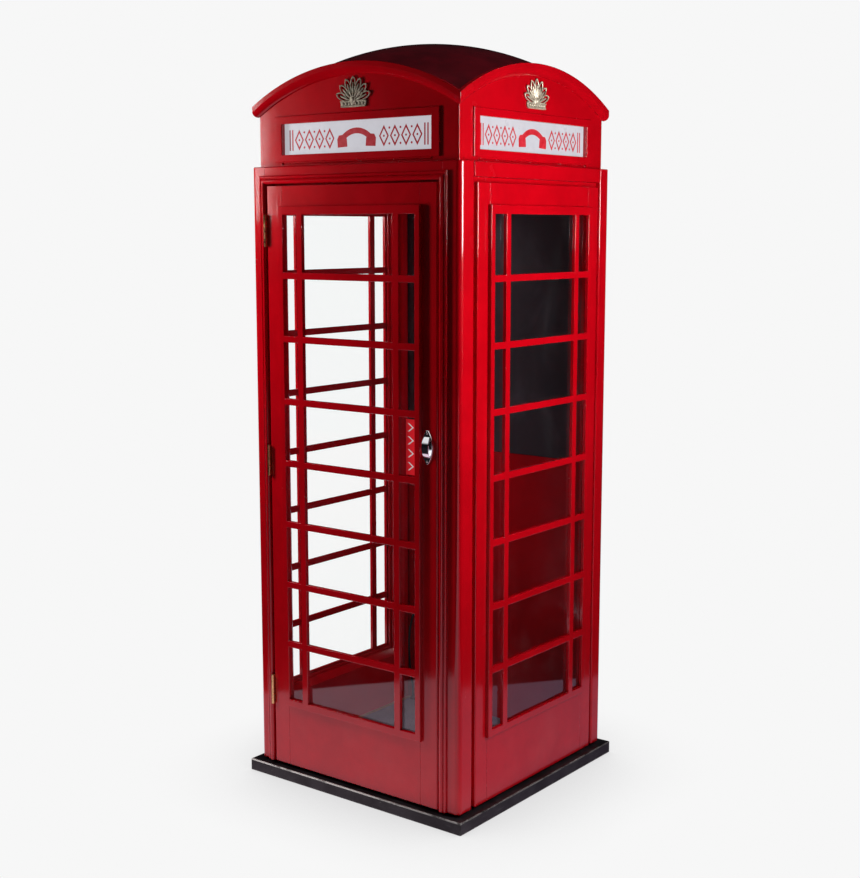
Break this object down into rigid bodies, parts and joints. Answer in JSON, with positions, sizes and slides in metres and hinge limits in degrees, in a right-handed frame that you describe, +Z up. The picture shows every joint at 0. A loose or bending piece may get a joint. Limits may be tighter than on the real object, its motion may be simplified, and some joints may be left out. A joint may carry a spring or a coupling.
{
  "type": "telephone booth",
  "caption": "Square street telephone booth with glazed walls, an outward-opening glazed door, a lit sign header with arched pediments and a domed roof on a plinth.",
  "frame": {"origin": "centre of the plinth's underside, on the ground", "axes": "+Z up; -Y is the side with the door; +X is to the right of someone facing the door"},
  "size_m": [0.92, 0.92, 2.496],
  "materials": {
    "black_board": "matt black board",
    "black_painted_timber": "satin black paint, worn pale along the top edges",
    "black_plastic": "black moulded plastic",
    "brass": "polished brass, slightly tarnished",
    "cable_black": "black cable sheath",
    "chrome": "polished chrome",
    "clear_glass": "clear polished float glass",
    "floor_timber": "bare plywood",
    "grey_mat": "light grey ribbed rubber",
    "label_plastic": "printed red plastic label with plain white chevrons",
    "lamp_white": "white moulded plastic",
    "opal_plastic": "backlit opal sheet",
    "ornament_metal": "pale silver-gold cast metal, satin",
    "red_painted_board": "gloss red paint over board",
    "red_painted_timber": "high gloss red paint over timber, with fine wear at joints and edges",
    "roof_shell": "dark red moulded shell, gloss",
    "screw_steel": "plated steel"
  },
  "bodies": {
    "booth": {"arch_mouldings": "red_painted_timber", "back_board_battens": "floor_timber", "back_board_lower": "red_painted_board", "back_board_upper": "black_board", "back_wall_rails": "red_painted_timber", "back_wall_sheet": "red_painted_board", "back_wall_stiles": "red_painted_timber", "base_frame": "black_painted_timber", "cable": "cable_black", "cable_glands": "black_plastic", "catch_magnet": "black_plastic", "ceiling_board": "red_painted_board", "ceiling_lamp_base": "lamp_white", "ceiling_lamp_cover": "opal_plastic", "door_head": "red_painted_timber", "door_jamb_left": "red_painted_timber", "door_jamb_right": "red_painted_timber", "floor_board": "floor_timber", "floor_mat": "grey_mat", "header_blocks": "floor_timber", "header_walls": "red_painted_board", "hinge_frame_leaves": "brass", "hinge_frame_screws": "brass", "hinge_pins": "brass", "left_wall_glass": "clear_glass", "left_wall_glazing_beads": "red_painted_timber", "left_wall_grille": "red_painted_timber", "left_wall_rails": "red_painted_timber", "left_wall_stiles": "red_painted_timber", "pediment_ornaments": "ornament_metal", "plinth": "black_painted_timber", "post_front_left": "red_painted_timber", "post_front_right": "red_painted_timber", "posts_back": "red_painted_timber", "right_wall_glass": "clear_glass", "right_wall_glazing_beads": "red_painted_timber", "right_wall_grille": "red_painted_timber", "right_wall_rails": "red_painted_timber", "right_wall_stiles": "red_painted_timber", "roof_dome": "roof_shell", "sign_frames": "red_painted_timber", "sign_lamps": "lamp_white", "sign_panels": "opal_plastic", "threshold": "red_painted_timber", "top_rail_back": "red_painted_timber", "top_rail_front": "red_painted_timber", "top_rails_side": "red_painted_timber"},
    "door": {"door_stile_hinge": "red_painted_timber", "door_stile_lock": "red_painted_timber", "door_bottom_rail": "red_painted_timber", "door_top_rail": "red_painted_timber", "door_grille": "red_painted_timber", "door_glass": "clear_glass", "door_glazing_beads": "red_painted_timber", "door_label": "label_plastic", "door_pull": "chrome", "door_pull_screws": "screw_steel", "catch_plate": "screw_steel", "hinge_door_leaves": "brass", "hinge_door_screws": "brass"}
  },
  "joints": [
    {"name": "door_swing", "type": "hinge", "parent": "booth", "child": "door", "pos_m": [-0.361, -0.445, 0.05], "axis": [0, 0, -1], "range_deg": [0, 110]}
  ]
}
